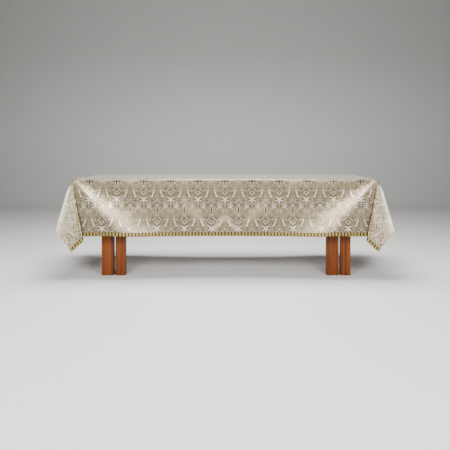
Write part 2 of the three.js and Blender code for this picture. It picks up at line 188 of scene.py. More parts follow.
FOLDS = np.array([
    # low out, low fore, high out, high fore: beyond the table's end and front, per unit of depth
    (-0.170, 0.058, -0.170, 0.048),      # front, beside the pleat
    (0.000, 0.018, -0.060, 0.060),       # front, at the corner
    (0.102, 0.006, 0.010, 0.075),        # hidden turn
    (0.102, 0.058, 0.040, 0.090),
    (0.000, 0.080, 0.050, 0.100),        # middle layer
    (-0.140, 0.104, 0.060, 0.115),
    (-0.206, 0.108, 0.070, 0.130),       # inner fold
    (-0.206, 0.164, 0.085, 0.145),
    (-0.120, 0.152, 0.120, 0.150),       # flap
    (-0.010, 0.126, 0.170, 0.140),
    (0.160, 0.092, 0.240, 0.110),
    (0.305, 0.048, 0.330, 0.050),        # outer fold
    (0.305, -0.014, 0.330, -0.010),
    (0.215, -0.100, 0.270, -0.060),      # return
    (0.132, -0.195, 0.200, -0.100),      # side fold
    (0.070, -0.195, 0.150, -0.115),
    (0.068, -0.100, 0.120, -0.125),      # side, middle layer
    (0.062, 0.000, 0.095, -0.135),       # side, hidden turn
    (0.012, 0.000, 0.070, -0.150),
    (0.020, -0.120, 0.050, -0.170),      # side, beside the pleat
])


def smoothstep(low, high, x):
    """Zero below low, one above high, and an even rise between: s * s * (3 - 2 * s)."""
    s = np.clip((x - low) / (high - low), 0, 1)
    return s * s * (3 - 2 * s)


def hump(x, middle, width):
    """A bell: e to the power of minus the square of the distance from the middle over the width."""
    return np.exp(-((x - middle) / width) ** 2)


def fall_shape(along, crest):
    """How far a fall stands out at unit depth: an even flare, less a trough, plus a swell."""
    angle = np.degrees(np.arctan(np.maximum(along, 0)))
    return FLARE * (1 - hump(angle, *TROUGH)) + crest * hump(angle, *SWELL)


def smoothed(line, passes):
    """Each inner point becomes a quarter of its two neighbours and half of itself, many times over."""
    line = line.copy()
    for _ in range(passes):
        line[1:-1] = (line[:-2] + 2 * line[1:-1] + line[2:]) / 4
    return line


# %% The pleat's outline
def pleat_outline():
    """The outline at unit depth as dense rows: flat angle, low and high point, foot and normal.

    The flat angle grows by the angle between neighbouring directions (out, fore, -1), because a ray of
    the flat cloth stays straight when it hangs and keeps its angle to the next ray.
    """
    lead = np.array(LEAD_IN)
    front = np.stack([-lead, fall_shape(lead, FRONT_CREST)] * 2, 1)
    side = np.stack([fall_shape(lead, SIDE_CREST), -lead] * 2, 1)[::-1]
    knots = np.vstack([front, FOLDS, side])
    span = np.hypot(*np.diff(knots[:, :2], axis=0).T)
    steps = np.maximum(1, np.round(span / SAMPLE)).astype(int)
    at = np.concatenate([np.arange(n) / n + i for i, n in enumerate(steps)])
    dense = np.stack([np.interp(at, np.arange(len(knots)), knots[:, c]) for c in range(4)], 1)
    low = smoothed(dense[:, :2], LOW_SMOOTHING)
    high = smoothed(dense[:, 2:], HIGH_SMOOTHING)
    first = np.argmax(low[:, 0] >= -PLEAT_EDGE)
    last = len(low) - np.argmax(low[::-1, 1] >= -PLEAT_EDGE)
    low, high = low[first:last], high[first:last]
    ray = np.column_stack([low, -np.ones(len(low))])
    ray /= np.linalg.norm(ray, axis=1)[:, None]
    chord = np.linalg.norm(np.diff(ray, axis=0), axis=1)
    turned = np.concatenate([[0], np.cumsum(2 * np.arcsin(chord / 2))])
    part = turned / turned[-1]
    start = np.pi / 2 - np.arctan(PLEAT_EDGE)
    angle = start + part * (3 * np.pi / 2 - 2 * start)
    normal = np.stack([np.sin(part * np.pi / 2), np.cos(part * np.pi / 2)], 1)
    foot = CORNER_RADIUS * (normal - 1)
    return np.column_stack([angle, low, high, foot, normal])


OUTLINE = pleat_outline()
PLEAT_START, PLEAT_END = OUTLINE[0, 0], OUTLINE[-1, 0]
print("outline rows:", len(OUTLINE), "flat angles:", np.degrees([PLEAT_START, PLEAT_END]).round(2))

# %% [markdown]
# ## From the flat cloth to the hanging one
#
# The whole cloth is a function of two numbers: where a point lies on the flat rectangle. On the top,
# nothing changes. On a fall, the distance beyond the edge becomes depth. In a corner, the point's ray gives
# its place on the pleat's outline, and the distance along the ray gives the depth. The woven figure
# and the braid use the same two numbers, so they follow each fold, as they do on real cloth.

# %% Flat to hanging
BEND_SAVING = EDGE_RADIUS * (2 - np.pi / 2)   # a round edge is this much shorter than a square one
FLAP_CURL, CURL_ANGLE, CURL_WIDTH = 0.024, 119, 15       # of the length, degrees, degrees
HEM_LIFT, LIFT_PLACE, LIFT_WIDTH = 0.020, 370 * MM, 130 * MM   # of the depth, along from the corner


def ray_stretch(angle, low):
    """Length on the cloth per depth along a pleat's ray: its slant, and a little curl in the flap."""
    curl = FLAP_CURL * hump(np.degrees(angle), CURL_ANGLE, CURL_WIDTH)
    return np.sqrt(1 + (low ** 2).sum(-1)) * (1 + curl)


def fall_stretch(near):
    """The same on a long fall: none, but for a stretch beside each pleat that hangs a little shorter."""
    return 1 + HEM_LIFT * hump(near, LIFT_PLACE, LIFT_WIDTH)


def edge_inset(depth):
    """The bend over the edge: the radius minus the root of its square less the rest's square."""
    rest = np.clip(EDGE_RADIUS - depth, 0, EDGE_RADIUS)
    return EDGE_RADIUS - np.sqrt(EDGE_RADIUS ** 2 - rest ** 2)


def along_cloth(depth, stretch):
    """Distance on the cloth from the edge line: an arc over the edge, then depth times the stretch."""
    arc = EDGE_RADIUS * (np.arccos(np.clip(1 - depth / EDGE_RADIUS, -1, 1)) - 1)
    straight = EDGE_RADIUS * (np.pi / 2 - 1) + (depth - EDGE_RADIUS) * stretch
    return np.where(depth < EDGE_RADIUS, arc, straight)


def outline_at(angle):
    """The outline's low and high points, foot and normal for any flat angle, between its dense rows."""
    columns = [np.interp(angle, OUTLINE[:, 0], OUTLINE[:, c]) for c in range(1, 9)]
    return [np.stack(columns[i:i + 2], -1) for i in (0, 2, 4, 6)]


def corner_point(angle, depth):
    """A point of the pleat: foot, less the inset at the edge, plus depth times the outline.

    The outline passes from its high form to its low one with depth, most of it by FOLD_FULL and the rest
    by FOLD_LAST. The outermost fold also puffs out a little just below the edge.
    """
    low, high, foot, normal = outline_at(angle)
    d = depth[..., None]
    share = (EARLY_SHARE * smoothstep(FOLD_START, FOLD_FULL, d)
             + (1 - EARLY_SHARE) * smoothstep(FOLD_FULL, FOLD_LAST, d))
    puff = PUFF * smoothstep(0, PUFF_DEPTH, d) * np.clip(low[..., :1] / low[..., 0].max(), 0, 1) ** 2
    return foot - normal * edge_inset(d) + d * (high + (low - high) * share) + puff * np.array([1, 0])


# %% [markdown]
# ## Creases
#
# A cloth that was folded away keeps its creases. Two of them show on each half of the front, and the
# other falls are taken to be like it. The first meets its mirror image above the middle of the hem, as an
# upside-down V, and a broader one runs down towards it from the side. Each is a straight ridge between
# two points on the flat cloth. It serves twice: as relief here, and as a painted highlight, a paler line in
# the woven ground where the pressed satin shines.

# %% Creases of the falls
CREASES = [
    # from across, from down, to across, to down, width, height: millimetres, the same on both halves;
    # then how strong its painted highlight line is, as a share
    (-45, 300, 118, 464, 26, 10, 1.0),
    (400, 180, 180, 390, 44, 10, 0.6),
]
CREASE_FADE = 0.25                         # of its length, to each side of both ends


def about_crease(across, down, start_across, start_down, end_across, end_down):
    """A point's share of the way along a crease, and its distance to one side of it."""
    length = np.hypot(end_across - start_across, end_down - start_down)
    step_across, step_down = (end_across - start_across) / length, (end_down - start_down) / length
    x, d = across - start_across, down - start_down
    return (x * step_across + d * step_down) / length, x * step_down - d * step_across


def crease_relief(across, depth):
    """Soft ridges along straight lines: a bell across each line, fading at both its ends."""
    relief = np.zeros(np.broadcast(across, depth).shape)
    for *ends, width, height, _ in CREASES:
        part, off = about_crease(np.abs(across), depth, *np.array(ends) * MM)
        fade = smoothstep(-CREASE_FADE, CREASE_FADE, part)
        fade *= 1 - smoothstep(1 - CREASE_FADE, 1 + CREASE_FADE, part)
        relief += height * MM * hump(off, 0, width * MM) * fade
    return relief


def fall_point(along, depth, run, crest):
    """A point of a long fall: how far along its edge and how far out, from the nearer corner's shape."""
    near = np.minimum(along, run - along)
    out = depth * fall_shape(near / np.maximum(depth, TINY), crest) - edge_inset(depth)
    return along, out + crease_relief(along - run / 2, depth)


# %% [markdown]
# ## The grid of the cloth
#
# The falls are laid out in columns that run from the edge of the top to the hem, once round the
# table. Columns stand close where the pleat turns and wider on the long falls, so the triangles go
# where the shape needs them. On the top, the same columns run on inwards to a middle line.

# %% Columns once round the table
PLEAT_COLUMNS, FRONT_COLUMNS, SIDE_COLUMNS = 90, 200, 52
COLUMN_TURN, COLUMN_RUN = np.radians(20), 0.12   # a turn and a run that cost the same
CROWDING, FAN = 0.2, 300 * MM              # share by which columns crowd to the pleats; where they slant
EDGE_ROWS, FALL_ROWS, TOP_ROWS = 5, 44, 9
SHEET_THICK = 1.0 * MM


def hem_reach(angle, foot):
    """Along a flat ray, the distance from its foot to the side hem or the front hem, the nearer one."""
    out, fore = -np.cos(angle), np.sin(angle)
    to_side = np.where(out > TINY, (SIDE_DROP - foot[..., 0]) / np.maximum(out, TINY), np.inf)
    to_front = np.where(fore > TINY, (FRONT_DROP - foot[..., 1]) / np.maximum(fore, TINY), np.inf)
    return np.minimum(to_side, to_front)


def pleat_angles(count):
    """Flat angles at equal cost: bend over COLUMN_TURN plus run over COLUMN_RUN. One meets the tip."""
    low = OUTLINE[:, 1:3]
    step = np.diff(low, axis=0)
    heading = np.unwrap(np.arctan2(step[:, 1], step[:, 0]))
    bend = np.abs(np.diff(heading, prepend=heading[0]))
    cost = np.concatenate([[0], np.cumsum(bend / COLUMN_TURN + np.hypot(*step.T) / COLUMN_RUN)])
    angles = np.interp(np.linspace(0, cost[-1], count), cost, OUTLINE[:, 0])
    reach = hem_reach(OUTLINE[:, 0], OUTLINE[:, 5:7])
    tip = OUTLINE[np.argmax(reach), 0]
    angles[np.argmin(np.abs(angles - tip))] = tip
    return angles


def row_depths(fall):
    """Depths down each column: an even turn over the edge, then even steps to the hem."""
    turn = np.linspace(0, np.pi / 2, EDGE_ROWS)
    bend = EDGE_RADIUS * (1 - np.cos(turn))
    down = np.linspace(0, 1, FALL_ROWS + 1)[1:]
    below = EDGE_RADIUS + (fall[:, None] - EDGE_RADIUS) * down
    return np.concatenate([np.broadcast_to(bend, (len(fall), EDGE_ROWS)), below], 1)


def pleat_grid():
    """The pleat's columns: plan points beyond the corner, depths, and flat places beyond the corner."""
    angles = pleat_angles(PLEAT_COLUMNS)
    low, _, foot, _ = outline_at(angles)
    stretch = ray_stretch(angles, low)
    depth = row_depths(hem_reach(angles, foot) / stretch)
    place = corner_point(np.broadcast_to(angles[:, None], depth.shape), depth)
    far = along_cloth(depth, stretch[:, None])
    direction = np.stack([-np.cos(angles), np.sin(angles)], -1)
    flat = foot[:, None] + far[..., None] * direction[:, None]
    return place, depth, flat


def fall_grid(count, run, drop, crest):
    """A fall's columns, slanting beside the pleats and upright further on."""
    edge = PLEAT_EDGE * drop
    even = np.arange(1, count + 1) / (count + 1)
    crowded = even - CROWDING * np.sin(2 * np.pi * even) / (2 * np.pi)
    at_hem = edge + (run - 2 * edge) * crowded
    near = np.minimum(at_hem, run - at_hem)
    slant = edge * (1 - smoothstep(0, FAN, near - edge))
    at_top = at_hem + np.where(at_hem < run / 2, -slant, slant)
    depth = row_depths(drop / fall_stretch(near))
    along = at_top[:, None] + (at_hem - at_top)[:, None] * depth / depth[:, -1:]
    along, out = fall_point(along, depth, run, crest)
    return along, out, depth, along_cloth(depth, fall_stretch(np.minimum(along, run - along)))


def ring_grid():
    """All columns in turn: front left pleat, front, front right pleat, right end, and so on round."""
    place, depth, flat = pleat_grid()

    def corner(side_x, side_y, backwards):
        signs = np.array([side_x, side_y])
        half = np.array([HALF_X, HALF_Y])
        parts = (signs * (half + place), depth, signs * (half + flat))
        return [p[::-1] for p in parts] if backwards else list(parts)

    run_x, run_y = 2 * (HALF_X - CORNER_RADIUS), 2 * (HALF_Y - CORNER_RADIUS)

    def fall(count, run, drop, crest, turn):
        along, out, down, far = fall_grid(count, run, drop, crest)
        half = HALF_Y if run == run_x else HALF_X
        local = [np.stack([along - run / 2, -(half + beyond)], -1) for beyond in (out, far)]
        spin = np.array([[np.cos(turn), np.sin(turn)], [-np.sin(turn), np.cos(turn)]]).round()
        return [local[0] @ spin, down, local[1] @ spin]

    quarter = np.pi / 2
    parts = [
        corner(-1, -1, True), fall(FRONT_COLUMNS, run_x, FRONT_DROP, FRONT_CREST, 0),
        corner(1, -1, False), fall(SIDE_COLUMNS, run_y, SIDE_DROP, SIDE_CREST, quarter),
        corner(1, 1, True), fall(FRONT_COLUMNS, run_x, FRONT_DROP, FRONT_CREST, 2 * quarter),
        corner(-1, 1, False), fall(SIDE_COLUMNS, run_y, SIDE_DROP, SIDE_CREST, 3 * quarter),
    ]
    plan, depth, flat = [np.concatenate([p[i] for p in parts]) for i in range(3)]
    return np.concatenate([plan, MID_Z - depth[..., None]], -1), flat


ring, ring_flat = ring_grid()
print("ring:", ring.shape, "flat half size:", np.abs(ring_flat).reshape(-1, 2).max(0).round(4))

# %% The sheet
def top_rows(edge):
    """The top from a middle line out to the edge: each row is a blend of the two."""
    spine_half = HALF_X - HALF_Y
    spine = np.stack([np.clip(edge[:, 0], -spine_half, spine_half), np.zeros(len(edge))], -1)
    share = np.sin(np.linspace(0, np.pi / 2, TOP_ROWS + 1))[:-1, None, None]
    return spine + (edge - spine) * share


def outward(points):
    """Unit normals of a grid of rows down and columns round, from the cross product of its two tangents."""
    across = np.roll(points, -1, 1) - np.roll(points, 1, 1)
    down = np.gradient(points, axis=0)
    normal = np.cross(down, across)
    size = np.linalg.norm(normal, axis=-1, keepdims=True)
    return np.where(size > TINY ** 2, normal / np.maximum(size, TINY ** 2), [0.0, 0.0, 1.0])


top_plan = top_rows(ring[:, 0, :2])
top = np.concatenate([top_plan, np.full(top_plan.shape[:2] + (1,), MID_Z)], -1)
sheet = np.concatenate([top, ring.transpose(1, 0, 2)])
sheet_flat = np.concatenate([top_plan, ring_flat.transpose(1, 0, 2)])
normals = outward(sheet)
normals[:TOP_ROWS + 1] = (0, 0, 1)
rows, columns = sheet.shape[:2]

outer = (sheet + normals * SHEET_THICK / 2).reshape(-1, 3)
inner = (sheet - normals * SHEET_THICK / 2).reshape(-1, 3)
faces_out = grid_faces(rows, columns, wrap=True)
faces_in = faces_out[:, ::-1] + rows * columns
last = (rows - 1) * columns + np.arange(columns)
after = (rows - 1) * columns + (np.arange(columns) + 1) % columns
rim = np.stack([last, after, after + rows * columns, last + rows * columns], -1)
cloth = make_piece("damask_cloth", np.concatenate([outer, inner]),
                   np.concatenate([faces_out[:, ::-1], faces_in[:, ::-1], rim]),
                   uv=np.tile(sheet_flat.reshape(-1, 2), (2, 1)))
print("cloth faces:", len(cloth.data.polygons))

# %% Close the middle line of the top
WELD = 0.01 * MM


def weld(piece, distance):
    """Joins points that lie on each other, and drops the faces that this leaves without an area."""
    work = bmesh.new()
    work.from_mesh(piece.data)
    bmesh.ops.remove_doubles(work, verts=work.verts, dist=distance)
    bmesh.ops.dissolve_degenerate(work, edges=work.edges, dist=distance)
    work.to_mesh(piece.data)
    work.free()
    piece.data.update()


weld(cloth, WELD)
cloth.data.calc_loop_triangles()
print("cloth triangles:", len(cloth.data.loop_triangles))

# %% [markdown]
# ## The braid
#
# The braid is a woven gold strip, ribbed across, stitched along the front hem. It could be a painted
# stripe, but its ribs catch the light one by one and its lower edge is scalloped, so it is real relief:
# a thin shell over the same flat coordinates as the cloth, raised by a row of round-headed ribs.

# %% The hanging place of any flat point near the front hem
FOOT_STEPS = 8


def drape(flat_x, flat_y):
    """Where a point of the flat cloth hangs, for points on the front fall and its two pleats.

    Beyond the pleat's first ray the flat point's own ray is found by walking its foot round the corner
    a few times; the distance along the ray, less the arc over the edge, gives the depth.
    """
    beyond = np.stack([np.abs(flat_x) - HALF_X, np.abs(flat_y) - HALF_Y], -1)
    angle = np.arctan2(beyond[..., 1], -(beyond[..., 0] + CORNER_RADIUS))
    on_fall = angle < PLEAT_START
    for _ in range(FOOT_STEPS):
        foot = outline_at(angle)[2]
        angle = np.arctan2(beyond[..., 1] - foot[..., 1], -(beyond[..., 0] - foot[..., 0]))
        angle = np.clip(angle, PLEAT_START, PLEAT_END)
    low, _, foot, _ = outline_at(angle)
    arc = EDGE_RADIUS * (np.pi / 2 - 1)
    depth = EDGE_RADIUS + (np.linalg.norm(beyond - foot, axis=-1) - arc) / ray_stretch(angle, low)
    pleat = corner_point(angle, depth)
    run = 2 * (HALF_X - CORNER_RADIUS)
    near = np.clip(run / 2 - np.abs(flat_x), 0, None)
    fall_depth = EDGE_RADIUS + (beyond[..., 1] - arc) / fall_stretch(near)
    _, out = fall_point(flat_x + run / 2, fall_depth, run, FRONT_CREST)
    plan_x = np.where(on_fall, flat_x, np.sign(flat_x) * (HALF_X + pleat[..., 0]))
    plan_y = np.where(on_fall, HALF_Y + out, HALF_Y + pleat[..., 1])
    return np.stack([plan_x, -plan_y, MID_Z - np.where(on_fall, fall_depth, depth)], -1)


# %% The braid's surface
BRAID_HIGH, BRAID_THICK, RIB_PITCH, RIB_HIGH, SCALLOP = 33 * MM, 1.1 * MM, 30 * MM, 2.0 * MM, 3.5 * MM
BRAID_STEP, BRAID_ROWS, STITCH_GAP = 2.5 * MM, 11, 0.15 * MM
HEAD_AT, HEAD_ARCH, HEAD_SOFT = 0.62, 0.34, 0.16     # shares of the braid's height, like the next two
CORD_AT, CORD_WIDE = 0.10, 0.07
BORDER_AT, BORDER_WIDE = 0.93, 0.06
RIB_SHARE, CORD_SHARE, BORDER_SHARE = 0.85, 0.35, 0.5   # shares of RIB_HIGH
SCALLOP_FADE, EDGE_SOFT, EDGE_LEAST = 0.35, 0.05, 0.012
HEM_X = HALF_X + SIDE_DROP - BEND_SAVING
HEM_Y = HALF_Y + FRONT_DROP - BEND_SAVING


def rib_arch(across):
    """A half circle over each pitch: the root of 1 minus x squared, where x runs from -1 to 1."""
    x = 2 * ((across / RIB_PITCH) % 1) - 1
    return np.sqrt(np.clip(1 - x ** 2, 0, 1))


def rib_relief(across, up):
    """Round-headed ribs: an arch over each pitch, cut off at a curved head, with a cord at the foot."""
    arch = rib_arch(across)
    head = smoothstep(0, HEAD_SOFT, HEAD_AT + HEAD_ARCH * arch - up)
    cord = hump(up, CORD_AT, CORD_WIDE)
    border = hump(up, BORDER_AT, BORDER_WIDE)
    return np.clip(RIB_SHARE * arch * head + CORD_SHARE * cord * arch + BORDER_SHARE * border, 0, 1)


def braid_surface():
    """Front face, edges and back of the strip, as rows across the braid and columns along it."""
    along = np.linspace(-HEM_X, HEM_X, int(round(2 * HEM_X / BRAID_STEP)) + 1)
    up = np.linspace(0, 1, BRAID_ROWS)
    a, h = np.meshgrid(along, up)
    lowered = SCALLOP * rib_arch(a) * (1 - smoothstep(0, SCALLOP_FADE, h))
    base = drape(a, -(HEM_Y - h * BRAID_HIGH))
    tangent_x, tangent_up = np.gradient(base, axis=1), np.gradient(base, axis=0)
    tangent_up /= np.linalg.norm(tangent_up, axis=-1, keepdims=True)
    normal = np.cross(tangent_x, tangent_up)
    normal /= np.linalg.norm(normal, axis=-1, keepdims=True)
    base = base - tangent_up * lowered[..., None]
    back = base + normal * (SHEET_THICK / 2 + STITCH_GAP)
    edge = smoothstep(0, EDGE_SOFT, np.minimum(h, 1 - h) + EDGE_LEAST)
    face = back + normal * (BRAID_THICK * edge + RIB_HIGH * rib_relief(a, h) * edge)[..., None]
    flat = np.stack([a, h * BRAID_HIGH], -1)
    return np.concatenate([face, back[::-1]]), np.concatenate([flat, flat[::-1]])


braid_points, braid_flat = braid_surface()
loop_rows, loop_columns = braid_points.shape[:2]
index = np.arange(loop_rows * loop_columns).reshape(loop_rows, loop_columns)
beside = np.roll(index, -1, 0)
wall = np.stack([index[:, :-1], index[:, 1:], beside[:, 1:], beside[:, :-1]], -1).reshape(-1, 4)


def end_cap(column):
    """Quads that close one end of the braid, between its face and its back."""
    face = index[:BRAID_ROWS, column]
    back = index[::-1, column][:BRAID_ROWS]
    return np.stack([face[:-1], face[1:], back[1:], back[:-1]], -1)


braid = make_piece("gold_galloon", braid_points.reshape(-1, 3),
                   np.concatenate([wall, end_cap(0), end_cap(-1)[:, ::-1]]), uv=braid_flat.reshape(-1, 2))
print("braid faces:", len(braid.data.polygons))

# %% [markdown]
# ## Materials as formulas
#
# A woven figure or a wood grain is a formula over the surface. Node trees for such formulas get long,
# so a small helper lets each node's output be added, multiplied and compared like a number.

# %% A helper that builds nodes from arithmetic
class Wire:
    """One output of a node tree. Arithmetic on it makes Math nodes and gives back their outputs."""

    def __init__(self, tree, socket):
        self.tree = tree
        self.socket = socket

    def math(self, operation, *others):
        node = self.tree.nodes.new("ShaderNodeMath")
        node.operation = operation
        for place, value in zip(node.inputs, (self, *others)):
            plug(self.tree, place, value)
        return Wire(self.tree, node.outputs[0])

    def __add__(self, other):
        return self.math("ADD", other)

    def __sub__(self, other):
        return self.math("SUBTRACT", other)

    def __mul__(self, other):
        return self.math("MULTIPLY", other)

    def __truediv__(self, other):
        return self.math("DIVIDE", other)

    def size(self):
        """The number without its sign."""
        return self.math("ABSOLUTE")

    def rise(self, low, high):
        """Zero at low, one at high, with a smooth step between; high may be the smaller one."""
        node = self.tree.nodes.new("ShaderNodeMapRange")
        node.interpolation_type = "SMOOTHSTEP"
        for name, value in (("Value", self), ("From Min", low), ("From Max", high)):
            plug(self.tree, node.inputs[name], value)
        return Wire(self.tree, node.outputs["Result"])


def plug(tree, place, value):
    """Puts a number, a colour or another node's output into a socket."""
    if isinstance(value, Wire):
        tree.links.new(value.socket, place)
    else:
        place.default_value = value


def node_of(tree, kind, inputs=(), **settings):
    """A node with its settings and its named inputs filled."""
    node = tree.nodes.new(kind)
    for name, value in settings.items():
        setattr(node, name, value)
    for name, value in dict(inputs).items():
        plug(tree, node.inputs[name], value)
    return node


def blend_colour(tree, share, first, second):
    """The first colour where share is zero, the second where it is one."""
    node = node_of(tree, "ShaderNodeMix", data_type="RGBA")
    for place, value in zip((node.inputs[0], node.inputs[6], node.inputs[7]), (share, first, second)):
        plug(tree, place, value)
    return Wire(tree, node.outputs[2])


def new_finish(name, **shader):
    """A material with its Principled shader, whose plain numbers are set on its own sockets."""
    finish = bpy.data.materials.new(name)
    finish.use_nodes = True
    tree = finish.node_tree
    surface = tree.nodes["Principled BSDF"]
    for socket, value in shader.items():
        surface.inputs[socket.replace("_", " ")].default_value = value
    return finish, tree, surface


def srgb(red, green, blue):
    """A colour given as it looks on a screen, 0 to 255, turned into the linear numbers shaders use."""
    c = np.array([red, green, blue]) / 255
    linear = np.where(c <= 0.04045, c / 12.92, ((c + 0.055) / 1.055) ** 2.4)
    return (*[float(v) for v in linear], 1.0)


# %% [markdown]
# ## The damask
#
# Damask is woven in one go: where the figure stands, the silk shows as smooth light satin, and between
# it as a duller grey-beige ground, with darker threads along the outlines. The figure is a common church
# pattern: star flowers, long leaves that lean together, lying ovals and stems, among fine curls. It
# repeats every 248 mm across and every 531 mm down, in rows that shift by half a repeat, and each flower
# is the same on its left and right. So the pattern only needs one quarter of its repeat, folded over.

# %% The figure's tables
REPEAT_WIDE, ROW_HIGH = 248.0, 265.5            # millimetres on the flat cloth
BRIGHT = [
    # across from a flower's axis, down from the row's top, half length, half width, turn in degrees
    (14, 166, 21, 5.6, -45),      # star flower: upper arms, lower arms, foot, heart
    (18, 188, 20, 5.0, 27),
    (0, 198, 20, 5.6, 90),
    (0, 180, 8, 8, 0),
    (95, 98, 11, 6.5, 110),       # long leaf: its head, body and broad end
    (87, 122, 26, 5.6, 108),
    (76, 150, 15, 6.5, 130),
    (48, 233, 27, 5.0, 6),        # lying oval: upper and lower side
    (48, 249, 27, 5.0, -6),
    (54, 214, 12, 5.5, 10),
    (0, 54, 8, 6.0, 0),           # light spot under the stem
    (124, 228, 9, 6.0, 90),       # head of the stem between the flowers
]
FAINT = [
    (60, 262, 20, 3.0, 0),
    (11, 26, 30, 2.6, 90),        # sides of the stem
    (113, 252, 26, 2.6, 90),
    (113, 22, 22, 3.0, 92),       # upright stroke
    (31, 92, 24, 4.2, 42),        # side leaves of the medallion
    (0, 136, 13, 6.5, 0),         # its lens
    (14, 116, 22, 3.4, 100),
    (124, 186, 13, 5.0, 90),      # small palmette under the leaves
    (104, 204, 20, 3.6, 35),
    (40, 30, 16, 3.0, 25),
]
SHADES = [
    (0, 22, 26, 3.6, 90),         # dark core of the stem
    (124, 262, 32, 3.2, 90),
    (26, 177, 9, 4.5, 0),         # between the arms of the star
    (12, 200, 10, 3.0, 60),
    (48, 241, 19, 2.6, 0),        # slit of the lying oval
    (79, 170, 17, 3.2, 5),        # under the leaf
    (86, 190, 22, 3.4, 20),
    (104, 138, 22, 2.4, 96),
    (65, 122, 24, 2.4, 112),
    (22, 100, 22, 2.2, 55),       # inside the medallion
    (44, 84, 16, 2.6, 35),
    (0, 92, 12, 3.0, 90),
    (118, 206, 9, 3.0, 60),
    (108, 220, 13, 2.4, -20),
]
RINGS = [
    # across, down, radius across, radius down, half width of the dark line
    (0, 106, 52, 44, 1.2),
    (0, 112, 38, 36, 1.1),
    (0, 136, 19, 10, 1.4),
    (124, 108, 15, 30, 1.2),
    (48, 241, 35, 17, 1.4),
    (62, 52, 20, 26, 1.1),
    (84, 214, 15, 24, 1.0),
]
TOP_BAR = (0, 11, 48, 7.0, 0)                   # only in the first row below the edge
CURL_SIZE, CURL_LEVELS = 25.0, 9.0              # millimetres, contours over the noise's whole range


def petal(tree, place, across, down, length, width, turn):
    """How far a point is from a pointed leaf: (|y| + x * x - 1) * width, in the leaf's own x and y."""
    local = node_of(tree, "ShaderNodeMapping", {
        "Vector": place, "Location": (across, down, 0),
        "Rotation": (0, 0, np.radians(turn)), "Scale": (length, width, 1)}, vector_type="TEXTURE")
    parts = node_of(tree, "ShaderNodeSeparateXYZ", {"Vector": Wire(tree, local.outputs[0])})
    x, y = (Wire(tree, parts.outputs[i]) for i in (0, 1))
    return (x.math("MULTIPLY_ADD", x, y.size()) - 1.0) * width


def ring_line(tree, place, across, down, wide, high, half):
    """How far a point is from an oval line: ||p| - 1| times its mean radius, less half its width."""
    local = node_of(tree, "ShaderNodeMapping", {
        "Vector": place, "Location": (across, down, 0), "Scale": (wide, high, 1)}, vector_type="TEXTURE")
    size = node_of(tree, "ShaderNodeVectorMath", {0: Wire(tree, local.outputs[0])}, operation="LENGTH")
    return (Wire(tree, size.outputs["Value"]) - 1.0).size() * ((wide + high) / 2) - half


def nearest(shapes):
    """The distance to the nearest of many shapes."""
    result = shapes[0]
    for shape in shapes[1:]:
        result = result.math("MINIMUM", shape)
    return result


def strongest(*shares):
    """The greatest of several shares."""
    result = shares[0]
    for share in shares[1:]:
        result = result.math("MAXIMUM", share)
    return result


def noise(tree, place, size, detail=2.0, distortion=0.0):
    """Soft noise, 0 to 1, with spots of about the given size in the units of the place."""
    node = node_of(tree, "ShaderNodeTexNoise", {"Vector": place, "Scale": 1 / size, "Detail": detail,
                                               "Distortion": distortion})
    return Wire(tree, node.outputs["Fac"])


# %% The damask's material and its place on the cloth
PER_METRE = 1000.0                              # millimetres

damask, tree, silk = new_finish("silk_damask", Metallic=0.70, Sheen_Weight=0.4, Sheen_Roughness=0.35)
flat_map = node_of(tree, "ShaderNodeUVMap", uv_map="flat")
flat_place = Wire(tree, flat_map.outputs[0])
flat_parts = node_of(tree, "ShaderNodeSeparateXYZ", {"Vector": flat_place})
flat_x, flat_y = (Wire(tree, flat_parts.outputs[i]) for i in (0, 1))
beyond_x = flat_x.size() - HALF_X
beyond_y = flat_y.size() - HALF_Y

rows_down = (flat_y + HALF_Y) * -PER_METRE / ROW_HIGH
shift = rows_down.math("FLOOR").math("PINGPONG", 1.0) * (REPEAT_WIDE / 2)
folded = (flat_x * PER_METRE + shift).math("PINGPONG", REPEAT_WIDE / 2)
in_row = rows_down.math("FRACT") * ROW_HIGH
place = Wire(tree, node_of(tree, "ShaderNodeCombineXYZ", {"X": folded, "Y": in_row}).outputs[0])
print("repeat:", REPEAT_WIDE, "mm across,", 2 * ROW_HIGH, "mm down")

# %% [markdown]
# ## Where painted light along the folds changes the figure
#
# Satin looks different on each slope, and here that light is painted into the woven colours. On the swell
# beside a pleat and on a pressed crease, a painted highlight pales the ground and hides the dark threads.
# On the flap, seen along its other thread, a painted sheen pales the ground, fades the figure and
# strengthens a fine net. Along the pleat's inner fold a tan line is painted shade, and along the outer
# fold a white line is a painted highlight. Each of these is a share between zero and one, made from the
# flat place.

# %% Painted light along the folds
INNER_FOLD, OUTER_FOLD = 118.6, 147.5           # flat angles about the corner, in degrees
INNER_WIDTH, OUTER_WIDTH = 2.2, 8.5
FLAP_BEGINS, FLAP_FULL = INNER_FOLD - 1.0, INNER_FOLD + 3.0
SWELL_ANGLE, SWELL_SPREAD = 39.0, 13.0          # where the front swells beside the pleat
LOW_DOWN = 50 * MM                              # the shares above grow over this depth below the edge
TOP_SOFT = (4 * MM, -10 * MM)                   # beyond the edge line, where the top's own share ends

flat_angle = beyond_y.math("ARCTAN2", beyond_x * -1.0) * np.degrees(1.0)
low_down = beyond_y.rise(0.0, LOW_DOWN)
# Painted sheen: the share of the flap, where the ground is painted paler, the figure fainter and the net
# stronger.
flap_sheen_paint = flat_angle.rise(FLAP_BEGINS, FLAP_FULL) * low_down
on_top = beyond_x.rise(*TOP_SOFT) * beyond_y.rise(*TOP_SOFT)


def near_ray(angle, spread):
    """One on a ray about the corner, falling to zero over the spread, and zero at the edge above."""
    return (flat_angle - angle).size().rise(spread, 0.0) * low_down


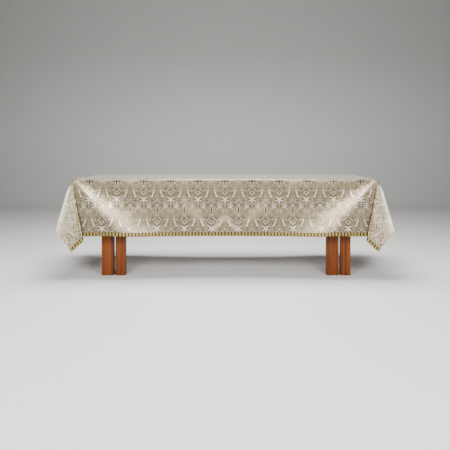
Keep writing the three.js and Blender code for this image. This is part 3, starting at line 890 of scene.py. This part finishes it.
def on_crease_line(ends, width, share):
    """The painted highlight along a crease's line: its share on the line and zero beside it, with the
    fading ends of its relief.
    """
    part, off = about_crease(flat_x.size(), beyond_y, *np.array(ends) * MM)
    line = off.size().rise(width * MM, 0.0) * share
    return line * part.rise(-CREASE_FADE, CREASE_FADE) * part.rise(1 + CREASE_FADE, 1 - CREASE_FADE)


# Painted highlight: the swell beside each pleat, where the satin mirrors a key lamp, is painted paler.
swell_sheen_paint = near_ray(SWELL_ANGLE, SWELL_SPREAD)
# Painted highlight: a paler line along each crease, where the pressed satin would shine.
crease_sheen_paint = strongest(*[on_crease_line(ends, width, share) for *ends, width, _, share in CREASES])
print("nodes so far:", len(tree.nodes))

# %% The figure's light and dark threads
LIGHT_EDGE, FAINT_EDGE, SHADE_EDGE = (1.2, -1.0), (1.4, -1.0), (1.2, -0.8)   # millimetres
FAINT_SHARE = 0.45
OUTLINE_OFF, OUTLINE_EDGE, OUTLINE_SHARE = 2.6, (2.2, 0.8), 0.6
BAR_EDGE = (1.0, -1.0)
FIGURE_SHARE, FIGURE_LOST_TO_PAINTED_SHEEN = 0.88, 0.45          # on the front, and how much less under the flap's painted sheen
DARK_LOST_TO_PAINTED_SHEEN = 0.6                                 # how much a painted sheen hides the dark threads, on the swell and the creases
CURL_DETAIL, CURL_BEND = 1.5, 0.7
DARK_CURLS = (0.25, 0.18, 0.05, 0.68)           # place between contours, outer and inner edge, share
LIGHT_CURLS = (0.70, 0.24, 0.06, 0.66)
NET_ACROSS, NET_DOWN = 3, 6                     # meshes in half a repeat and in a row
NET_EDGE, NET_SHARE, NET_ON_FLAP = (0.46, 0.12), 0.16, 0.62
NET_BREAK, NET_WORN = 20.0, (0.44, 0.58)        # millimetres between worn spots, range of the noise

bright = nearest([petal(tree, place, *leaf) for leaf in BRIGHT])
faint = nearest([petal(tree, place, *leaf) for leaf in FAINT])
shade = nearest([petal(tree, place, *leaf) for leaf in SHADES]
                + [ring_line(tree, place, *ring_row) for ring_row in RINGS])
curls = (noise(tree, place, CURL_SIZE, CURL_DETAIL, CURL_BEND) * CURL_LEVELS).math("FRACT")


def curl_band(at, outer_edge, inner_edge, share):
    """A band between two contours of the noise: the share at its middle and zero at its edge."""
    return (curls - at).size().rise(outer_edge, inner_edge) * share


net_across = folded * (NET_ACROSS * 2 * np.pi / REPEAT_WIDE)
net_down = in_row * (NET_DOWN * np.pi / ROW_HIGH)
net_line = nearest([slant.math("SINE").size() for slant in (net_across + net_down, net_across - net_down)])
worn = noise(tree, place, NET_BREAK, 1.0).rise(*NET_WORN)
# The net is part of the figure; on the flap a painted sheen makes it stronger.
net = net_line.rise(*NET_EDGE) * worn * (flap_sheen_paint * NET_ON_FLAP + NET_SHARE)

light = strongest(bright.rise(*LIGHT_EDGE), faint.rise(*FAINT_EDGE) * FAINT_SHARE)
# The figure is painted fainter under the flap's sheen.
light = light * (flap_sheen_paint * -FIGURE_LOST_TO_PAINTED_SHEEN + FIGURE_SHARE)
outline = (bright - OUTLINE_OFF).size().rise(*OUTLINE_EDGE) * OUTLINE_SHARE
in_first_row = rows_down.math("FLOOR").math("COMPARE", 0.0, 0.5)
bar = petal(tree, place, *TOP_BAR).rise(*BAR_EDGE) * in_first_row
dark = strongest(outline, shade.rise(*SHADE_EDGE), curl_band(*DARK_CURLS), bar, net)
# Painted sheen: on the swell and the creases the dark threads are faded out.
dark = dark * (strongest(swell_sheen_paint, crease_sheen_paint) * -DARK_LOST_TO_PAINTED_SHEEN + 1.0)
print("nodes so far:", len(tree.nodes))

# %% The damask's colours
GROUND, FIGURE, OUTLINE_THREAD = srgb(139, 123, 92), srgb(240, 230, 216), srgb(46, 33, 18)
CURL_LIGHT, FOLD_SHADE_TAN = srgb(198, 185, 157), srgb(168, 138, 62)
UNEVEN_SIZE, UNEVEN_RANGE = 60 * MM, (0.40, 0.62)
UNEVEN_SHARE, TOP_REFLECTION_MOTTLE = 0.15, 0.75
# Shares of the painted highlight on the swell and the painted sheen on the flap.
SWELL_SHEEN_PAINTED, FLAP_SHEEN_PAINTED = 0.7, 0.85
SPECKLE_SIZE, SPECKLE_RANGE = 12 * MM, (0.38, 0.58)
FOLD_SHADE_SHARE, FOLD_SHADE_SPECKLED, OUTER_FOLD_HIGHLIGHT = 0.25, 0.6, 0.75

# Uneven tone: random spots in the silk everywhere, and on the top a stronger mottling that is painted
# reflection.
uneven = noise(tree, flat_place, UNEVEN_SIZE).rise(*UNEVEN_RANGE) * (on_top * TOP_REFLECTION_MOTTLE + UNEVEN_SHARE)
# The paler ground: light curls of the figure and random tone, with painted highlight on the swell and
# creases and painted sheen on the flap.
pale = strongest(curl_band(*LIGHT_CURLS), uneven, swell_sheen_paint * SWELL_SHEEN_PAINTED, flap_sheen_paint * FLAP_SHEEN_PAINTED, crease_sheen_paint)
ground = blend_colour(tree, pale, GROUND, CURL_LIGHT)
ground = blend_colour(tree, dark, ground, OUTLINE_THREAD)
colour = blend_colour(tree, light, ground, FIGURE)
speckle = noise(tree, flat_place, SPECKLE_SIZE).rise(*SPECKLE_RANGE)
# Painted shade: a warm tan line, speckled, in the valley of the pleat's inner fold.
inner_fold_shade = near_ray(INNER_FOLD, INNER_WIDTH) * (speckle * FOLD_SHADE_SPECKLED + FOLD_SHADE_SHARE)
colour = blend_colour(tree, inner_fold_shade, colour, FOLD_SHADE_TAN)
# Painted highlight: a white line of the figure's colour along the pleat's outer fold.
colour = blend_colour(tree, near_ray(OUTER_FOLD, OUTER_WIDTH) * OUTER_FOLD_HIGHLIGHT, colour, FIGURE)
tree.links.new(colour.socket, silk.inputs["Base Color"])
print("nodes so far:", len(tree.nodes))

# %% [markdown]
# ## Sheen and weave
#
# The satin of the figure is a little smoother than its ground. The cloth has soft waves some way across,
# and each thread is a fine rib. Both are bumps in the shading, because neither is as high as the cloth is
# thick.

# %% The damask's roughness and bumps
ROUGHNESS, SPOT_ROUGHNESS, FIGURE_ROUGHNESS = 0.34, 0.10, -0.07
SPOT_SIZE = 110 * MM
WAVE_SIZE, WAVE_HIGH = 160 * MM, 10 * MM
THREAD_PITCH, THREAD_HIGH, THREAD_STRENGTH = 1.6 * MM, 0.2 * MM, 0.12

spots = noise(tree, flat_place, SPOT_SIZE)
roughness = light * FIGURE_ROUGHNESS + spots * SPOT_ROUGHNESS + ROUGHNESS
tree.links.new(roughness.socket, silk.inputs["Roughness"])


def thread_ribs(along):
    """Ribs across one direction: half the sine of the place over the pitch of the threads."""
    return (along * (2 * np.pi / THREAD_PITCH)).math("SINE") * 0.5


waves = node_of(tree, "ShaderNodeBump", {
    "Height": noise(tree, flat_place, WAVE_SIZE, 1.0), "Strength": 1.0, "Distance": WAVE_HIGH})
threads = node_of(tree, "ShaderNodeBump", {
    "Height": thread_ribs(flat_y) + thread_ribs(flat_x), "Strength": THREAD_STRENGTH,
    "Distance": THREAD_HIGH, "Normal": Wire(tree, waves.outputs[0])})
tree.links.new(threads.outputs[0], silk.inputs["Normal"])
cloth.data.materials.append(damask)
print("damask nodes:", len(tree.nodes))

# %% [markdown]
# ## Gold and wood
#
# The braid's gold thread lies in fine cross ribs, with painted shade in the grooves between the
# round-headed ones.
# The table is plain stained timber. Its grain is noise, stretched a long way along each board.

# %% The braid's finish
GOLD_LIGHT, GOLD_SHADED = srgb(160, 136, 66), srgb(42, 31, 5)
GROOVE_EDGE, HEAD_EDGE = (0.38, 0.74), (0.80, 1.0)
HEAD_ROUND, HEAD_SHADE = 0.4, 0.8                # how round the head's line is, how dark the painted shade above it is

gold, tree, thread = new_finish("gold_thread", Roughness=0.42, Metallic=0.35)
braid_map = node_of(tree, "ShaderNodeUVMap", uv_map="flat")
braid_parts = node_of(tree, "ShaderNodeSeparateXYZ", {"Vector": Wire(tree, braid_map.outputs[0])})
braid_x, braid_up = (Wire(tree, braid_parts.outputs[i]) for i in (0, 1))
from_middle = ((braid_x / RIB_PITCH).math("FRACT") - 0.5).size() * 2.0
head_line = braid_up / BRAID_HIGH + from_middle * from_middle * HEAD_ROUND
# Painted shade: the grooves between the ribs and the band above their heads are darkened.
groove_shade = strongest(from_middle.rise(*GROOVE_EDGE), head_line.rise(*HEAD_EDGE) * HEAD_SHADE)
tree.links.new(blend_colour(tree, groove_shade, GOLD_LIGHT, GOLD_SHADED).socket, thread.inputs["Base Color"])
braid.data.materials.append(gold)
print("gold nodes:", len(tree.nodes))

# %% The wood's finish
WOOD_LIGHT, WOOD_DEEP = srgb(122, 60, 8), srgb(66, 25, 2)
GRAIN_ALONG, GRAIN_ACROSS = 1.2, 60.0           # spots of noise in a metre
FIGURE_DETAIL, FIGURE_BEND = 5.0, 0.15
PORE_SCALE, PORE_DETAIL, PORE_SHARE = 5.0, 3.0, 0.3
GRAIN_RANGE = (0.34, 0.62)
GRAIN_HIGH, GRAIN_STRENGTH = 0.6 * MM, 0.25


def wood_finish(name, along):
    """Stained wood with grain along one axis: stretched noise for the figure, finer noise for pores."""
    finish, tree, surface = new_finish(name, Roughness=0.55, Specular_IOR_Level=0.25)
    place = Wire(tree, node_of(tree, "ShaderNodeTexCoord").outputs["Object"])
    stretch = [GRAIN_ALONG if axis == along else GRAIN_ACROSS for axis in "xyz"]
    mapping = node_of(tree, "ShaderNodeMapping", {"Vector": place, "Scale": stretch})
    drawn_out = Wire(tree, mapping.outputs[0])
    broad = noise(tree, drawn_out, 1.0, FIGURE_DETAIL, FIGURE_BEND)
    fine = noise(tree, drawn_out, 1 / PORE_SCALE, PORE_DETAIL)
    mixed = broad * (1 - PORE_SHARE) + fine * PORE_SHARE
    stain = blend_colour(tree, mixed.rise(*GRAIN_RANGE), WOOD_DEEP, WOOD_LIGHT)
    tree.links.new(stain.socket, surface.inputs["Base Color"])
    grain = node_of(tree, "ShaderNodeBump", {
        "Height": mixed, "Strength": GRAIN_STRENGTH, "Distance": GRAIN_HIGH})
    tree.links.new(grain.outputs[0], surface.inputs["Normal"])
    return finish


upright = wood_finish("wood_upright", "z")
lengthwise = wood_finish("wood_lengthwise", "x")
crosswise = wood_finish("wood_crosswise", "y")
for name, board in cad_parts.items():
    if name in ("altar_cloth", "gold_braid"):
        continue
    finish = lengthwise if name == "table_top" else crosswise if name.endswith("bearer") else upright
    for slot in board.material_slots:
        slot.material = finish
    print(name, "gets", finish.name)

# %% The floor's finish
FLOOR_GREY = srgb(226, 225, 222)

matt, tree, surface = new_finish("pale_floor", Roughness=0.8)
surface.inputs["Base Color"].default_value = FLOOR_GREY
floor.data.materials.append(matt)
print("floor finish:", matt.name)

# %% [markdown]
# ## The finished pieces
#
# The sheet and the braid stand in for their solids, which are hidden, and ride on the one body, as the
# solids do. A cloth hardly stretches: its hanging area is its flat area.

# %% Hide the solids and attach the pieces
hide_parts("altar_cloth")
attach(cloth, "root")
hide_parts("gold_braid")
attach(braid, "root")
